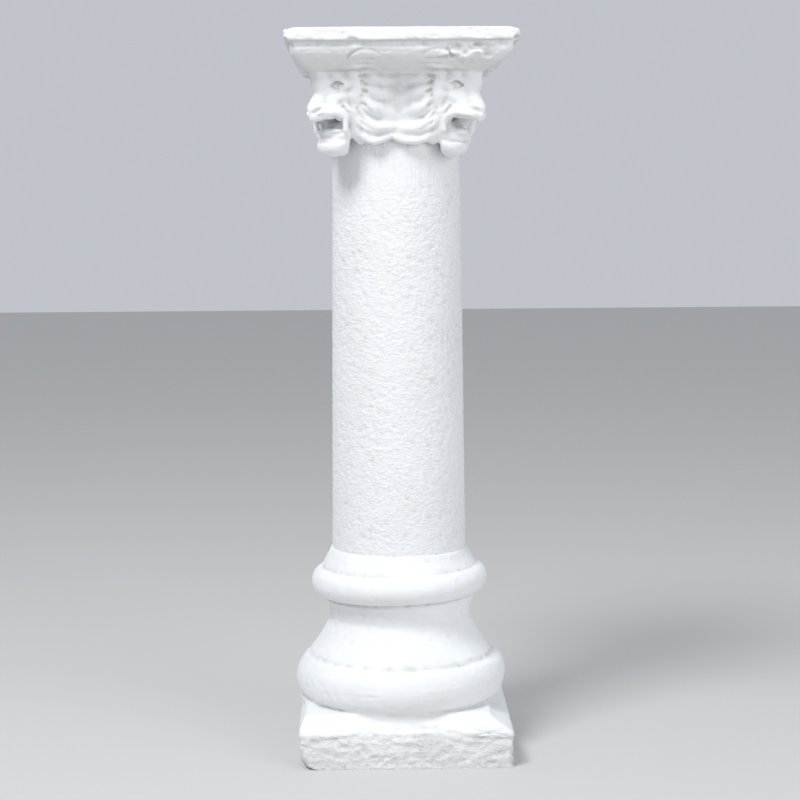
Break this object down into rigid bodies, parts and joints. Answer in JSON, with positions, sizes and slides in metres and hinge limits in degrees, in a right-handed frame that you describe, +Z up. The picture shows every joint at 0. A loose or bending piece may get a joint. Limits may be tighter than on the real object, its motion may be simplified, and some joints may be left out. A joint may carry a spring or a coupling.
{
  "type": "column pedestal",
  "caption": "White-painted cast pedestal column: square plinth, moulded round base, plain rough tapering shaft, and a square top slab carried by roaring lion heads under its corners.",
  "frame": {"origin": "centre of the plinth's underside; the shaft and heads stand 7 mm to the -X side of it, as in the picture", "axes": "+Z up along the shaft, -Y out of the side that the picture shows, +X to that side's right"},
  "size_m": [0.334, 0.334, 1.07],
  "materials": {
    "painted_casting": "thick matt white masonry paint over a rough casting"
  },
  "bodies": {
    "root": {"column": "painted_casting"}
  },
  "joints": []
}
